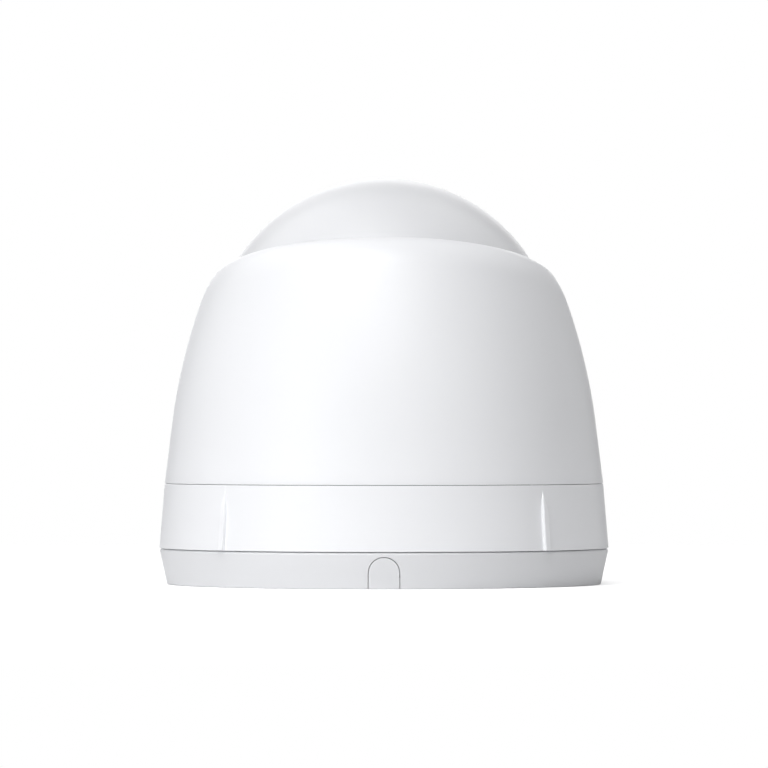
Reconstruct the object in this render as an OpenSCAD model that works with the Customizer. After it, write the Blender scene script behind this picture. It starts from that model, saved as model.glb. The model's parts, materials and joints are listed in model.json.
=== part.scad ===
// Turret security camera: a camera ball that tilts in a panning housing, on a base
// that twist-locks onto a mounting plate.  Millimetres, +Z up.
// Origin: centre of the mounting plate's lower face.  The lens looks towards -Y.

/* [Body] */
// Largest diameter, where the base band meets the mounting plate
body_dia = 100; // [100:0.5:103]
// Height of the seam between the mounting plate and the base band
lower_seam_z = 8; // [7.9:0.1:8.2]
// Height of the seam between the base band and the housing
upper_seam_z = 22.4; // [22.4:0.1:23]
// Wall thickness of the outer shells
wall = 2.2; // [2:0.1:2.3]
// Opening of each seam
seam_gap = 0.2; // [0.15:0.05:0.4]

/* [Ball] */
// Diameter of the ball
ball_dia = 77; // [76:0.5:77]
// Height of the ball's centre
ball_z = 51.8; // [51.8:0.1:53]
// Elevation of the lens above level, in degrees
lens_elevation = 50; // [46:1:54]
// Lean of the ball's opening towards the lens side, in degrees
collar_lean = 12.3; // [11.5:0.1:13]
// Diameter of the mouth that the camera head turns in
mouth_dia = 43; // [43:0.5:44]

/* [Details] */
// Number of grip ribs on the base band
rib_count = 4; // [3:1:6]
// Width of a rib at its foot
rib_w = 1.8; // [1.4:0.1:3]
// Width of the cable notch in the mounting plate
notch_w = 7; // [6:0.1:7.4]
// Height of the cable notch
notch_h = 7; // [6:0.1:7]
// Number of infrared lamps round the lens
led_count = 4; // [3:1:6]

/* [Mounting] */
// Diameter of the circle of wall screws
mount_pcd = 72; // [70:1:74]
// Diameter of each wall screw's hole
mount_hole_dia = 4.6; // [4:0.2:5]
// Diameter of the central cable hole
cable_hole_dia = 28; // [24:1:30]

/* [Hidden] */
$fn = 64;

shell_white = "whitesmoke";
trim_white = "gainsboro";
seal_grey = "dimgray";
inner_grey = "slategray";
board_green = "seagreen";
steel = "silver";

// Cutters run past the faces they open by this much
over = 1;
socket_depth = 0.6;
// Half a seam, and the clearance between plain faces that pass each other
half_gap = seam_gap / 2;
slip = 0.3;
// Radial clearance of a turning pin or plunger in its bore
running_fit = 0.06;
// Radius of each kind of screw's shank and head, and the clearance of its hole
large_screw = [1.2, 2.3];
small_screw = [0.95, 1.55];
board_screw = [0.85, 1.45];
screw_slip = 0.05;

// --- Outside profile ---
body_r = body_dia / 2;
ring_draft = 0.215;      // the plate's ring narrows towards the wall
band_draft = 0.083;      // the base band narrows upwards
housing_draft = 0.124;   // the housing's lower wall, before it begins to curve in
crown_start_z = 36;
crown_rate = 0.00425;
housing_top_z = 82;
profile_step = 3;

function band_r(z) = body_r - band_draft * (z - lower_seam_z);
function ring_r(z) = body_r - ring_draft * (lower_seam_z - z);
function housing_r(z) =
    band_r(upper_seam_z)
    - housing_draft * (z - upper_seam_z)
    - crown_rate * pow(max(0, z - crown_start_z), 2);

// --- Mounting plate ---
plate_top_z = lower_seam_z - half_gap;
plate_floor = 2.5;
plate_bore_r = 46.6;
edge = 0.3;
ledge_z = [5.6, 7.3];
ledge_inner_r = 42.6;
ledge_angle = 32;
stop_angle = 4;
stop_offset = -12.6;
lock_angles = [-90, 30, 150];
gap_angles = [90, 210, 330];
// Radius of a wall screw's hole and of its countersink, less the clearance
wall_screw_hole = [mount_hole_dia / 2 - screw_slip, 4.25];
wall_seal_r = [43, 41];
wall_seal_t = 0.8;
notch_y = 44.6;
notch_steps = 16;
tab_gap = 0.15;
tab_flange_y = [44.7, 46.1];
tab_flange_rim = 1.2;

// --- Base ---
base_bottom_z = lower_seam_z + half_gap;
base_top_z = upper_seam_z - half_gap;
base_bore_r = 46.4;
deck_z = [20, 21.6];
deck_hole_r = 33;
cover_z = [8.6, 10.4];
cover_r = 46.1;
hook_r = [41, 42.3, 45.8];
hook_lug_z = [3.6, 5.3];
hook_angle = 20;
cover_screw_r = 43.2;
cover_post_r = 2.6;
seal_ledge_z = [11.6, 13];
seal_r = [46.2, 44.4];
board_z = [14.5, 16.1];
board_r = 40.2;
board_hole_r = 20;
board_screw_r = 38.4;
board_post_r = 1.9;
board_screw_angles = [50, 130, 250, 290];
rib_tip_z = upper_seam_z - 1.1;
rib_taper = 6;
rib_steps = 8;
rib_proud = 0.8;
jack_y = [20.3, 36];
jack_z = [3.4, 14.5];
jack_w = 16;
jack_mouth = [11.8, 12, 8.2];
jack_mouth_z = 4.4;
pocket_y = [-11, 20];
pocket_w = 17;
pocket_wall = 1.4;
pocket_roof_z = 14.2;
boot_w = 1.2;
reset_at = [-24, -18];
reset_r = 1.6;
reset_z = [7.9, 11.5, 12.2];
reset_boss_z = 11.4;
reset_switch_z = 13.1;

// --- Housing ---
housing_bottom_z = upper_seam_z + half_gap;
turntable_z = [22.9, 25.1];
neck_r = [28.8, 32.6];
neck_bottom_z = 19.2;
retainer_z = 17;
retainer_r = 35.9;
washer_top_z = 19.8;
turntable_r = 45.9;
seat_z = 28.6;
seat_r = 34;
quarter_angles = [45, 135, 225, 315];
housing_screw_r = 42.2;
housing_boss_r = 3;
housing_boss_top_z = 36;
retainer_screw_r = 30.7;
// The collar is turned about the opening's own leaning axis, through the ball's centre
lip_h = 17.7;
shoulder_at = [33.8, 12];
shoulder_r = 5.8;
shoulder_steps = 4;
collar_flare = 35;
collar_drop = 50;
wiper_h = [11.2, 13.2];
wiper_low_r = [37.45, 38.2];
wiper_top_r = [36.8, 37.15];
pin_boss_r = 5;
pin_boss_x = 39;

// --- Ball ---
ball_r = ball_dia / 2;
ball_inner_r = ball_r - wall;
ball_clear_r = ball_r + 0.4;
// The ball ends in a plane, leaning away from the lens axis, that the opening never shows
cut_turn = 24;
cut_h = -10.6;
ball_cover_t = 2;
ball_cover_r = 33.6;
ball_seal_r = 34.6;
ball_cover_screw_r = 31.2;
ball_post_r = 2.3;
ball_post_h = -2;
ball_post_web = 2.4;
grommet_r = 4;
pin_r = 2.5;
pin_x = [32.5, 41.3];
mouth_r = mouth_dia / 2;
head_r = mouth_r - slip;
mouth_collar_h = 21;
head_ring_h = [14.2, 16.7];
head_ring_r = 30.4;
head_ring_screw_r = 28.2;
head_post_r = 2;
head_screw_angles = [30, 150, 270];

// --- Camera head, heights along the lens axis from the ball's centre ---
flange_h = [17.1, 20.5];
flange_r = 25.4;
carrier_h = [2, 24];
carrier_bore_r = 19;
window_h = [30.7, 32.3];
window_seat_h = 30.2;
window_r = 19.4;
window_ledge_r = 17.5;
bezel_top_h = 32.7;
led_board_h = [24, 25.2];
led_ring_r = 12.4;
sensor_board_h = [3, 4.2];
sensor_board_r = 18.6;
holder_h = 9;
lens_thread_r = 6;
barrel_h = [10, 22];
lens_head_r = 7.4;
lens_head_h = 28;
filter_h = [6.1, 7.3];
filter_travel = 7;
filter_glass_r = 2.9;
holder_size = [25.2, 12.8];
sensor_screw_r = 16.8;
sensor_screw_angles = [90, 210, 330];
sensor_post_r = 2.3;
heat_sink_r = 14;
heat_sink_h = [-1.6, 2.4];

// --- Helpers ---

// A ring or tube about Z
module ring(r_out, r_in, z) {
    translate([0, 0, z[0]])
        difference() {
            cylinder(r = r_out, h = z[1] - z[0]);
            translate([0, 0, -over])
                cylinder(r = r_in, h = z[1] - z[0] + 2 * over);
        }
}

// A plain cylinder between two heights
module rod(r, z) {
    translate([0, 0, z[0]])
        cylinder(r = r, h = z[1] - z[0]);
}

// A sector of a ring, centred on an angle
module arc_ring(r_out, r_in, z, middle, spread) {
    rotate([0, 0, middle - spread / 2])
        rotate_extrude(angle = spread)
            translate([r_in, z[0]])
                square([r_out - r_in, z[1] - z[0]]);
}

// A box from its lowest corner to its highest
module block(low, high) {
    translate(low)
        cube(high - low);
}

// Children repeated at a radius and a list of angles
module at_angles(r, angles) {
    for (a = angles)
        rotate([0, 0, a])
            translate([r, 0, 0])
                children();
}

// A countersunk screw along Z: size is its shank and head radius, the head's face is at
// head_z, and the shank runs to tip_z
module screw(size, head_z, tip_z) {
    r = size[0];
    head_r = size[1];
    reach = abs(tip_z - head_z);
    translate([0, 0, head_z])
        rotate([tip_z < head_z ? 180 : 0, 0, 0])
            difference() {
                rotate_extrude()
                    polygon([[0, 0], [head_r, 0], [r, head_r - r], [r, reach], [0, reach]]);
                translate([0, 0, -over])
                    cylinder(r = r * 0.7, h = over + socket_depth, $fn = 6);
            }
}

// The hole that a screw of the same call leaves, open at its head's face
module screw_hole(size, head_z, tip_z) {
    r = size[0] + screw_slip;
    head_r = size[1] + screw_slip;
    reach = abs(tip_z - head_z) + slip;
    translate([0, 0, head_z])
        rotate([tip_z < head_z ? 180 : 0, 0, 0])
            rotate_extrude()
                polygon([
                    [0, -over], [head_r, -over], [head_r, 0],
                    [r, head_r - r], [r, reach], [0, reach]
                ]);
}

// The ball's centre, with +Z leaning towards the lens side
module at_ball(lean) {
    translate([0, 0, ball_z])
        rotate([lean, 0, 0])
            children();
}

module at_lens() {
    at_ball(90 - lens_elevation) children();
}

module at_cut() {
    at_ball(90 - lens_elevation - cut_turn) children();
}

module at_collar() {
    at_ball(collar_lean) children();
}

// --- Mounting plate ---

// The U-shaped outline of the cable notch, extruded along Y
module notch_shape(inset, y) {
    r = notch_w / 2 - inset;
    translate([0, y[1], 0])
        rotate([90, 0, 0])
            linear_extrude(height = y[1] - y[0])
                polygon(concat(
                    [[-r, -over], [r, -over]],
                    [for (i = [0 : notch_steps])
                        let (a = 180 * i / notch_steps)
                        [r * cos(a), notch_h - notch_w / 2 + r * sin(a)]]
                ));
}

module mounting_plate() {
    color(trim_white)
        difference() {
            union() {
                rotate_extrude()
                    polygon([
                        [cable_hole_dia / 2, 0], [ring_r(0) - edge, 0], [ring_r(edge), edge],
                        [ring_r(plate_top_z - edge), plate_top_z - edge],
                        [body_r - 2 * edge, plate_top_z], [plate_bore_r, plate_top_z],
                        [plate_bore_r, plate_floor], [cable_hole_dia / 2, plate_floor]
                    ]);
                for (a = lock_angles) {
                    arc_ring(plate_bore_r + edge, ledge_inner_r, ledge_z, a, ledge_angle);
                    arc_ring(
                        plate_bore_r + edge / 2, ledge_inner_r + edge,
                        [plate_floor - edge, ledge_z[0] + edge], a + stop_offset, stop_angle
                    );
                }
            }
            ring(wall_seal_r[0], wall_seal_r[1], [-over, wall_seal_t]);
            notch_shape(0, [notch_y, body_r + over]);
            at_angles(mount_pcd / 2, gap_angles)
                screw_hole(wall_screw_hole, plate_floor, -over);
        }
}

module wall_seal() {
    color(seal_grey)
        ring(wall_seal_r[0] - slip, wall_seal_r[1] + slip, [0, wall_seal_t]);
}

module cable_exit_tab() {
    flange_r = notch_w / 2 + tab_flange_rim;
    color(trim_white) {
        intersection() {
            notch_shape(tab_gap, [tab_flange_y[1] - tab_gap, body_r + over]);
            rotate_extrude()
                polygon([
                    [0, 0], [ring_r(0) - edge, 0], [ring_r(edge), edge],
                    [ring_r(plate_top_z), plate_top_z], [0, plate_top_z]
                ]);
        }
        block(
            [-flange_r, tab_flange_y[0], plate_floor + slip],
            [flange_r, tab_flange_y[1], notch_h + tab_flange_rim / 2]
        );
    }
}

// --- Base ---

// One grip rib: below its pointed tip it swells to its full width and height, and keeps
// them down to the seam
module rib(angle) {
    swell = [for (i = [0 : rib_steps])
        [sin(90 * i / rib_steps), rib_tip_z - rib_taper * i / rib_steps]];
    rotate([0, 0, angle])
        intersection() {
            rotate([90, 0, 90])
                linear_extrude(height = body_r + 2 * rib_proud)
                    polygon(concat(
                        [for (p = swell) [-rib_w / 2 * p[0], p[1]]],
                        [[-rib_w / 2, base_bottom_z], [rib_w / 2, base_bottom_z]],
                        [for (i = [rib_steps : -1 : 1]) [rib_w / 2 * swell[i][0], swell[i][1]]]
                    ));
            rotate_extrude()
                polygon(concat(
                    [[body_r - wall, base_bottom_z], [body_r + rib_proud, base_bottom_z]],
                    [for (i = [rib_steps : -1 : 0])
                        [band_r(swell[i][1]) + rib_proud * swell[i][0], swell[i][1]]],
                    [[body_r - wall, rib_tip_z]]
                ));
        }
}

module base_shell() {
    color(shell_white)
        difference() {
            union() {
                rotate_extrude()
                    polygon([
                        [deck_hole_r, deck_z[0]], [base_bore_r, deck_z[0]],
                        [base_bore_r, seal_ledge_z[1]], [seal_r[1], seal_ledge_z[1]],
                        [seal_r[1], seal_ledge_z[0]], [base_bore_r, seal_ledge_z[0]],
                        [base_bore_r, base_bottom_z],
                        [band_r(base_bottom_z) - edge, base_bottom_z],
                        [band_r(base_bottom_z), base_bottom_z + edge],
                        [band_r(base_top_z), base_top_z - edge],
                        [band_r(base_top_z) - edge, base_top_z],
                        [base_bore_r + edge, base_top_z], [base_bore_r + edge, deck_z[1]],
                        [deck_hole_r, deck_z[1]]
                    ]);
                at_angles(cover_screw_r, gap_angles)
                    rod(cover_post_r, [cover_z[1], deck_z[0] + edge]);
                at_angles(board_screw_r, board_screw_angles)
                    rod(board_post_r, [board_z[1], deck_z[0] + edge]);
                for (i = [0 : rib_count - 1])
                    rib((i + 0.5) * 360 / rib_count);
            }
            at_angles(cover_screw_r, gap_angles)
                rod(large_screw[0], [cover_z[1] - over, deck_z[0] - over]);
            at_angles(board_screw_r, board_screw_angles)
                rod(small_screw[0], [board_z[1] - over, deck_z[0] - over]);
        }
}

module bottom_cover() {
    half_w = pocket_w / 2;
    color(inner_grey)
        difference() {
            union() {
                rod(cover_r, cover_z);
                block(
                    [-half_w - pocket_wall, pocket_y[0] - pocket_wall, cover_z[0]],
                    [half_w + pocket_wall, jack_y[0], pocket_roof_z]
                );
                translate([reset_at[0], reset_at[1], 0])
                    rod(2 * reset_r, [cover_z[0], reset_boss_z]);
                for (a = lock_angles) {
                    arc_ring(hook_r[1], hook_r[0], [hook_lug_z[0], cover_z[0] + edge], a, hook_angle);
                    arc_ring(hook_r[2], hook_r[1] - edge, hook_lug_z, a, hook_angle);
                }
            }
            block(
                [-half_w, pocket_y[0], cover_z[0] - over],
                [half_w, jack_y[0] + over, pocket_roof_z - pocket_wall]
            );
            block(
                [-jack_w / 2 - boot_w, jack_y[0], cover_z[0] - over],
                [jack_w / 2 + boot_w, jack_y[1] + boot_w, pocket_roof_z + over]
            );
            translate([reset_at[0], reset_at[1], 0])
                rod(reset_r + running_fit, [cover_z[0] - over, reset_boss_z + over]);
            at_angles(cover_screw_r, gap_angles)
                screw_hole(large_screw, cover_z[0], cover_z[1] + over);
        }
}

module cover_seal() {
    color(seal_grey)
        difference() {
            ring(seal_r[0], seal_r[1], [cover_z[1], seal_ledge_z[0]]);
            at_angles(cover_screw_r, gap_angles)
                rod(cover_post_r + edge, [cover_z[0], seal_ledge_z[1]]);
        }
}

module cover_screws() {
    color(steel)
        at_angles(cover_screw_r, gap_angles)
            screw(large_screw, cover_z[0], deck_z[0] - 2);
}

module main_board() {
    color(board_green)
        difference() {
            ring(board_r, board_hole_r, board_z);
            at_angles(board_screw_r, board_screw_angles)
                screw_hole(small_screw, board_z[0], board_z[1] + over);
        }
}

// Power transformer, two lying capacitors and two chips, all under the board
module power_parts() {
    color("darkslategray") {
        block([-7, -36, board_z[0] - 3.7], [7, -26, board_z[0]]);
        block([-37, -4, board_z[0] - 1.6], [-28, 5, board_z[0]]);
        block([27, -5, board_z[0] - 1.8], [37, 5, board_z[0]]);
        for (a = [-60, -42])
            rotate([0, 0, a])
                translate([26, 0, board_z[0] - 1.9])
                    rotate([0, 90, 0])
                        cylinder(r = 1.9, h = 10);
    }
}

module board_screws() {
    color(steel)
        at_angles(board_screw_r, board_screw_angles)
            screw(small_screw, board_z[0], deck_z[0] - 1.2);
}

module network_jack() {
    half = jack_mouth[0] / 2;
    color("gray")
        difference() {
            block([-jack_w / 2, jack_y[0], jack_z[0]], [jack_w / 2, jack_y[1], jack_z[1]]);
            block(
                [-half, jack_y[0] - over, jack_mouth_z],
                [half, jack_y[0] + jack_mouth[1], jack_mouth_z + jack_mouth[2]]
            );
            block(
                [-half / 2, jack_y[0] - over, jack_z[0] + 0.5],
                [half / 2, jack_y[0] + jack_mouth[1], jack_mouth_z + over]
            );
        }
}

module jack_contacts() {
    pitch = 1.02;
    top = jack_mouth_z + jack_mouth[2];
    color("gold")
        for (i = [0 : 7])
            translate([(i - 3.5) * pitch, jack_y[0] + 1.5, 0])
                block([-0.2, 0, top - 0.7], [0.2, jack_mouth[1] - 1.5, top]);
}

module jack_boot() {
    color(seal_grey)
        difference() {
            block(
                [-jack_w / 2 - boot_w, jack_y[0], cover_z[0]],
                [jack_w / 2 + boot_w, jack_y[1] + boot_w, cover_z[1]]
            );
            block([-jack_w / 2, jack_y[0] - over, 0], [jack_w / 2, jack_y[1], board_z[0]]);
        }
}

module reset_switch() {
    half = 3;
    color("black")
        translate([reset_at[0], reset_at[1], 0])
            block([-half, -half, reset_switch_z], [half, half, board_z[0]]);
}

module reset_button() {
    color("dimgray")
        translate([reset_at[0], reset_at[1], 0]) {
            rod(reset_r, [reset_z[0], reset_z[2]]);
            rod(1.5 * reset_r, [reset_z[1], reset_z[2]]);
        }
}

// --- Housing ---

// The outside of the leaning collar, moved inwards by inset: its side leaves the
// shoulder's arc as a tangent, so the housing stays convex all round
function collar_points(inset) =
    let (lip_angle = asin((lip_h - shoulder_at[1]) / shoulder_r))
    let (r = shoulder_r - inset)
    let (arc = [
        for (i = [0 : shoulder_steps])
            let (a = collar_flare + i * (lip_angle - collar_flare) / shoulder_steps)
            shoulder_at + r * [cos(a), sin(a)]
    ])
    let (foot_r = arc[0][0] + (arc[0][1] + collar_drop) * tan(collar_flare))
    concat([[0, -collar_drop], [foot_r, -collar_drop]], arc, [[0, lip_h - inset]]);

// The housing without its ball opening, moved inwards by inset
module housing_solid(inset, low_z) {
    intersection() {
        rotate_extrude()
            polygon(concat(
                [[0, low_z]],
                [[housing_r(low_z) - inset, low_z]],
                [for (z = [housing_bottom_z + profile_step : profile_step : housing_top_z])
                    [housing_r(z) - inset, z]],
                [[0, housing_top_z]]
            ));
        at_collar()
            rotate_extrude()
                polygon(collar_points(inset));
    }
}

// Children at both ends of the tilt axis, with +Z running outwards
module at_pins() {
    for (side = [0, 180])
        translate([0, 0, ball_z])
            rotate([0, 90, side])
                children();
}

module housing_shell() {
    color(shell_white)
        difference() {
            union() {
                difference() {
                    housing_solid(0, housing_bottom_z);
                    housing_solid(wall, housing_bottom_z - over);
                }
                intersection() {
                    at_pins() rod(pin_boss_r, [pin_boss_x, body_r]);
                    housing_solid(wall / 2, housing_bottom_z);
                }
                at_angles(housing_screw_r, quarter_angles)
                    rod(housing_boss_r, [turntable_z[1], housing_boss_top_z]);
            }
            at_ball(0) sphere(ball_clear_r);
            at_pins() rod(pin_r + running_fit, [pin_boss_x - over, pin_x[1] + slip]);
            at_angles(housing_screw_r, quarter_angles)
                rod(large_screw[0], [turntable_z[1] - over, housing_boss_top_z - 3]);
        }
}

module turntable() {
    color(inner_grey)
        difference() {
            rotate_extrude()
                polygon([
                    [neck_r[0], neck_bottom_z], [neck_r[1], neck_bottom_z],
                    [neck_r[1], turntable_z[0]], [turntable_r, turntable_z[0]],
                    [turntable_r, turntable_z[1]], [neck_r[0], turntable_z[1]]
                ]);
            at_angles(housing_screw_r, quarter_angles)
                screw_hole(large_screw, turntable_z[0], turntable_z[1] + over);
            at_angles(retainer_screw_r, quarter_angles)
                rod(small_screw[0], [neck_bottom_z - over, turntable_z[1] - over]);
        }
}

module housing_screws() {
    color(steel)
        at_angles(housing_screw_r, quarter_angles)
            screw(large_screw, turntable_z[0], housing_boss_top_z - 4);
}

module pan_retainer() {
    color(inner_grey)
        difference() {
            ring(retainer_r, neck_r[0], [retainer_z, neck_bottom_z]);
            at_angles(retainer_screw_r, quarter_angles)
                screw_hole(small_screw, retainer_z, neck_bottom_z + over);
        }
}

module pan_washer() {
    color(seal_grey)
        ring(retainer_r - slip, neck_r[1], [neck_bottom_z, washer_top_z]);
}

module retainer_screws() {
    color(steel)
        at_angles(retainer_screw_r, quarter_angles)
            screw(small_screw, retainer_z, turntable_z[1] - 1.5);
}

module ball_seat() {
    color(seal_grey)
        difference() {
            ring(seat_r, neck_r[0], [turntable_z[1], seat_z]);
            at_ball(0) sphere(ball_clear_r);
        }
}

module rim_wiper() {
    color(seal_grey)
        at_collar()
            rotate_extrude()
                polygon([
                [wiper_top_r[0], wiper_h[1]], [wiper_top_r[1], wiper_h[1]],
                [wiper_low_r[1], wiper_h[0]], [wiper_low_r[0], wiper_h[0]]
            ]);
}

// --- Ball ---

module ball_shell() {
    inner_posts_r = (ball_r + ball_inner_r) / 2;
    color(trim_white)
        difference() {
            union() {
                difference() {
                    at_ball(0) sphere(ball_r);
                    at_ball(0) sphere(ball_inner_r);
                }
                intersection() {
                    at_ball(0) sphere(inner_posts_r);
                    union() {
                        at_lens() ring(mouth_r + wall, mouth_r, [mouth_collar_h, ball_r]);
                        at_lens()
                            at_angles(head_ring_screw_r, head_screw_angles)
                                rod(head_post_r, [head_ring_h[1], ball_inner_r]);
                        at_cut()
                            at_angles(ball_cover_screw_r, quarter_angles) {
                                rod(ball_post_r, [cut_h + ball_cover_t, ball_post_h]);
                                block(
                                    [0, -ball_post_web / 2, cut_h + ball_cover_t],
                                    [ball_inner_r, ball_post_web / 2, ball_post_h]
                                );
                            }
                        at_pins() rod(pin_boss_r, [pin_x[0] - over, ball_r]);
                    }
                }
            }
            at_lens() rod(mouth_r, [mouth_collar_h - over, ball_r + over]);
            at_cut() rod(ball_r + over, [-ball_r - over, cut_h]);
            at_pins() rod(pin_r, [pin_x[0] - 2 * over, ball_r + over]);
            at_lens()
                at_angles(head_ring_screw_r, head_screw_angles)
                    rod(small_screw[0], [head_ring_h[1] - over, head_ring_h[1] + 5]);
            at_cut()
                at_angles(ball_cover_screw_r, quarter_angles)
                    rod(small_screw[0], [cut_h, ball_post_h - over]);
        }
}

module tilt_pins() {
    color(steel)
        at_pins() rod(pin_r, pin_x);
}

module ball_cover() {
    color(inner_grey)
        at_cut()
            difference() {
                rod(ball_cover_r, [cut_h, cut_h + ball_cover_t]);
                rod(grommet_r, [cut_h - over, cut_h + ball_cover_t + over]);
                at_angles(ball_cover_screw_r, quarter_angles)
                    screw_hole(small_screw, cut_h, cut_h + ball_cover_t + over);
            }
}

module ball_cover_seal() {
    color(seal_grey)
        at_cut() ring(ball_seal_r, ball_cover_r, [cut_h, cut_h + ball_cover_t - slip]);
}

module ball_cover_screws() {
    color(steel)
        at_cut()
            at_angles(ball_cover_screw_r, quarter_angles)
                screw(small_screw, cut_h, ball_post_h - 1.5);
}

module cable_grommet() {
    lip = 0.8;
    color(seal_grey)
        at_cut()
            rotate_extrude()
                polygon([
                    [grommet_r / 2, cut_h - lip], [grommet_r + 2 * lip, cut_h - lip],
                    [grommet_r + 2 * lip, cut_h], [grommet_r, cut_h],
                    [grommet_r, cut_h + ball_cover_t], [grommet_r + 2 * lip, cut_h + ball_cover_t],
                    [grommet_r + 2 * lip, cut_h + ball_cover_t + lip],
                    [grommet_r / 2, cut_h + ball_cover_t + lip]
                ]);
}

module head_ring() {
    color(inner_grey)
        at_lens()
            difference() {
                ring(head_ring_r, mouth_r + edge, head_ring_h);
                at_angles(head_ring_screw_r, head_screw_angles)
                    screw_hole(small_screw, head_ring_h[0], head_ring_h[1] + over);
            }
}

module head_ring_screws() {
    color(steel)
        at_lens()
            at_angles(head_ring_screw_r, head_screw_angles)
                screw(small_screw, head_ring_h[0], head_ring_h[1] + 4.5);
}

// --- Camera head ---

module head_carrier() {
    lug_top = sensor_board_h[1] + 5;
    color(inner_grey)
        at_lens()
            difference() {
                union() {
                    rotate_extrude()
                        polygon([
                            [carrier_bore_r, carrier_h[0]], [head_r, carrier_h[0]],
                            [head_r, flange_h[0]], [flange_r, flange_h[0]],
                            [flange_r, flange_h[1]], [head_r, flange_h[1]],
                            [head_r, carrier_h[1]], [led_ring_r + 3, carrier_h[1]],
                            [led_ring_r + 3, carrier_h[1] - 1.2],
                            [carrier_bore_r, carrier_h[1] - 1.2]
                        ]);
                    at_angles(sensor_screw_r, sensor_screw_angles)
                        rod(sensor_post_r, [sensor_board_h[1], lug_top]);
                }
                at_angles(sensor_screw_r, sensor_screw_angles)
                    rod(board_screw[0], [sensor_board_h[1] - over, lug_top - over]);
            }
}

module front_bezel() {
    rim_h = bezel_top_h - 0.8;
    color(trim_white)
        at_lens()
            rotate_extrude()
                polygon([
                    [window_ledge_r, carrier_h[1]], [head_r, carrier_h[1]], [head_r, rim_h],
                    [head_r - 0.6, bezel_top_h - 0.2], [window_r + 0.5, bezel_top_h],
                    [window_r + 0.1, bezel_top_h - 0.4], [window_r + 0.1, window_seat_h],
                    [window_ledge_r, window_seat_h]
                ]);
}

module front_window() {
    color("black")
        at_lens() rod(window_r, window_h);
}

module window_seal() {
    color(seal_grey)
        at_lens() ring(window_r, window_ledge_r, [window_seat_h, window_h[0]]);
}

module led_board() {
    color(board_green)
        at_lens() ring(window_ledge_r - 0.2, lens_head_r + 0.4, led_board_h);
}

module infrared_leds() {
    lamp_r = 1.6;
    half = 1.75;
    base_t = 0.8;
    color("lavender")
        at_lens()
            for (i = [0 : led_count - 1])
                rotate([0, 0, (i + 0.5) * 360 / led_count])
                    translate([led_ring_r, 0, led_board_h[1]]) {
                        block([-half, -half, 0], [half, half, base_t]);
                        rod(lamp_r, [base_t - 0.1, base_t + lamp_r / 2]);
                        intersection() {
                            translate([0, 0, base_t + lamp_r / 2]) sphere(lamp_r);
                            rod(lamp_r, [base_t, base_t + 2 * lamp_r]);
                        }
                    }
}

module light_sensor() {
    color("white")
        at_lens()
            translate([0, led_ring_r + 1, led_board_h[1]])
                block([-1.2, -0.9, 0], [1.2, 0.9, 0.9]);
}

module microphone() {
    color("silver")
        at_lens()
            translate([0, -led_ring_r - 1, 0])
                difference() {
                    rod(2, [led_board_h[1], led_board_h[1] + 1.6]);
                    rod(0.5, [led_board_h[1] + 0.8, led_board_h[1] + 2]);
                }
}

// A tapered sleeve that keeps the infrared light of the lamps out of the lens
module lens_shade() {
    foot = lens_head_r + 0.4;
    color("black")
        at_lens()
            rotate_extrude()
                polygon([
                    [foot, led_board_h[1]], [foot + 1, led_board_h[1]],
                    [foot + 1.8, window_h[0]], [foot + 0.8, window_h[0]]
                ]);
}

module lens_barrel() {
    bore = lens_thread_r * 0.55;
    cup = lens_head_r - 2;
    color("black")
        at_lens()
            rotate_extrude()
                polygon([
                    [bore, barrel_h[0]], [lens_thread_r, barrel_h[0]],
                    [lens_thread_r, barrel_h[1]], [lens_head_r, barrel_h[1]],
                    [lens_head_r, lens_head_h - 0.6], [lens_head_r - 0.6, lens_head_h],
                    [cup + 0.4, lens_head_h], [cup, lens_head_h - 3.4], [bore, lens_head_h - 3.4]
                ]);
}

module lens_front_element() {
    dome_r = 9;
    color("lightsteelblue")
        at_lens()
            intersection() {
                rod(lens_head_r - 2.1, [lens_head_h - 3.4, lens_head_h]);
                translate([0, 0, lens_head_h - 0.5 - dome_r])
                    sphere(dome_r);
            }
}

module lens_rear_element() {
    color("lightsteelblue")
        at_lens() rod(lens_thread_r * 0.55, [barrel_h[0] + 0.4, barrel_h[0] + 2.4]);
}

// The block on the sensor board that holds the lens and guides the filter
module lens_holder() {
    half = holder_size / 2;
    slot_x = half[0] - 0.5;
    slot_y = half[1] - 1.6;
    color("dimgray")
        at_lens()
            difference() {
                union() {
                    block([-half[0], -half[1], sensor_board_h[1]], [half[0], half[1], holder_h]);
                    rod(lens_thread_r + 2.1, [holder_h - 0.1, barrel_h[1] - 5]);
                }
                block(
                    [-slot_x, -slot_y, filter_h[0] - 0.2],
                    [slot_x, slot_y, filter_h[1] + 0.2]
                );
                block([-5, -4.4, sensor_board_h[1] - over], [5, 4.4, filter_h[0]]);
                rod(4, [filter_h[0], holder_h + over]);
                rod(lens_thread_r + 0.05, [holder_h, barrel_h[1]]);
            }
}

module sensor_board() {
    color(board_green)
        at_lens()
            difference() {
                rod(sensor_board_r, sensor_board_h);
                at_angles(sensor_screw_r, sensor_screw_angles)
                    screw_hole(board_screw, sensor_board_h[0], sensor_board_h[1] + over);
            }
}

module image_sensor() {
    color("darkslategray")
        at_lens() block([-4, -3.5, sensor_board_h[1]], [4, 3.5, filter_h[0] - 0.5]);
}

// The coil that shifts the filter
module filter_coil() {
    color("darkgoldenrod")
        at_lens()
            translate([-4, holder_size[1] / 2 + 2.8, sensor_board_h[1] + 2.2])
                rotate([0, 90, 0])
                    cylinder(r = 2.2, h = 8);
}

module thermal_pad() {
    color("lightsteelblue")
        at_lens() block([-7, -7, heat_sink_h[1]], [7, 7, sensor_board_h[0]]);
}

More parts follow.
